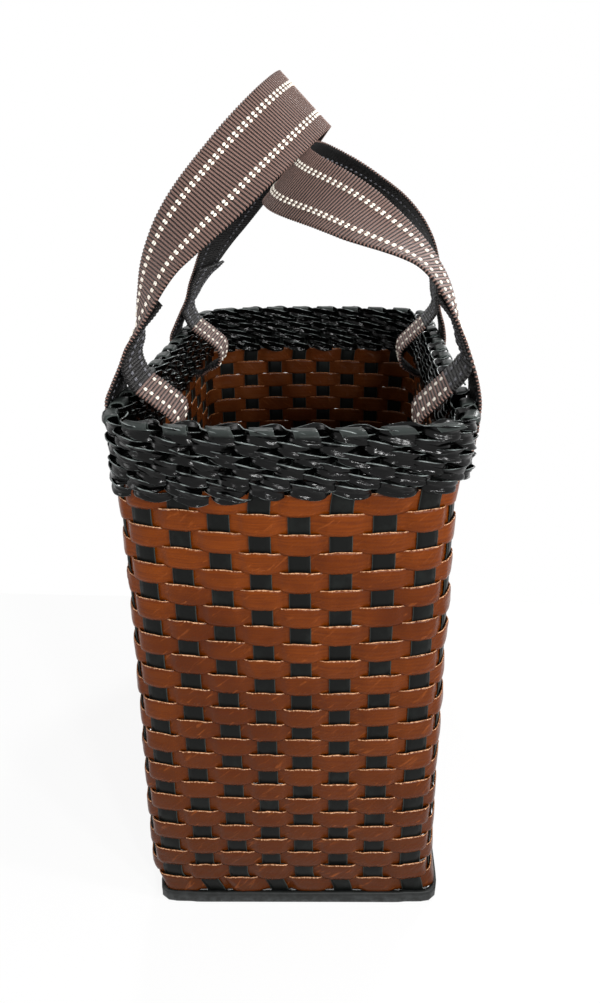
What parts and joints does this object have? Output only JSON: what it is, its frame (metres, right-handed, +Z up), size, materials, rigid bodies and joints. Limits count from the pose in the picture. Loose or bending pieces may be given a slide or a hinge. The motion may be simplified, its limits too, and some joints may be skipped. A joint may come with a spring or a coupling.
{
  "type": "picnic basket",
  "caption": "Tall open basket woven from flat plastic strapping, with a twined rim and webbing carrying straps that swing over the mouth.",
  "frame": {"origin": "on the ground under the middle of the basket", "axes": "+Z up, +Y along the basket's length, +X across it to the right"},
  "size_m": [0.1908, 0.3234, 0.4566],
  "materials": {
    "weaver_strap": "satin brown strapping with fine lengthwise lines",
    "stake_strap": "matte black strapping",
    "rim_twine": "glossy creased black strip",
    "foot_strip": "dark grey, scuffed",
    "webbing": "ribbed taupe webbing with cream stitching"
  },
  "bodies": {
    "basket_body": {"base_band": "foot_strip", "twined_rim": "rim_twine", "weaver_01": "weaver_strap", "weaver_02": "weaver_strap", "weaver_03": "weaver_strap", "weaver_04": "weaver_strap", "weaver_05": "weaver_strap", "weaver_06": "weaver_strap", "weaver_07": "weaver_strap", "weaver_08": "weaver_strap", "weaver_09": "weaver_strap", "weaver_10": "weaver_strap", "weaver_11": "weaver_strap", "weaver_12": "weaver_strap", "weaver_13": "weaver_strap", "weaver_14": "weaver_strap", "weaver_15": "weaver_strap", "weaver_16": "weaver_strap", "weaver_17": "weaver_strap", "weaver_18": "weaver_strap", "weaver_19": "weaver_strap", "weaver_20": "weaver_strap", "weaver_21": "weaver_strap", "weaver_22": "weaver_strap", "weaver_23": "weaver_strap", "weaver_24": "weaver_strap", "weaver_25": "weaver_strap", "lengthwise_stake_01": "stake_strap", "lengthwise_stake_02": "stake_strap", "lengthwise_stake_03": "stake_strap", "lengthwise_stake_04": "stake_strap", "lengthwise_stake_05": "stake_strap", "lengthwise_stake_06": "stake_strap", "lengthwise_stake_07": "stake_strap", "lengthwise_stake_08": "stake_strap", "crosswise_stake_01": "stake_strap", "crosswise_stake_02": "stake_strap", "crosswise_stake_03": "stake_strap", "crosswise_stake_04": "stake_strap", "crosswise_stake_05": "stake_strap", "crosswise_stake_06": "stake_strap", "crosswise_stake_07": "stake_strap", "crosswise_stake_08": "stake_strap", "crosswise_stake_09": "stake_strap", "crosswise_stake_10": "stake_strap", "crosswise_stake_11": "stake_strap", "crosswise_stake_12": "stake_strap", "crosswise_stake_13": "stake_strap", "crosswise_stake_14": "stake_strap", "left_near_loop": "webbing", "left_far_loop": "webbing", "right_near_loop": "webbing", "right_far_loop": "webbing"},
    "left_strap": {"left_handle": "webbing"},
    "right_strap": {"right_handle": "webbing"}
  },
  "joints": [
    {"name": "left_strap_swing", "type": "hinge", "parent": "basket_body", "child": "left_strap", "pos_m": [-0.0825, -0.02, 0.32405], "axis": [0, -1, 0], "range_deg": [0, 130]},
    {"name": "right_strap_swing", "type": "hinge", "parent": "basket_body", "child": "right_strap", "pos_m": [0.086, -0.02, 0.32405], "axis": [0, 1, 0], "range_deg": [-30, 130]}
  ]
}
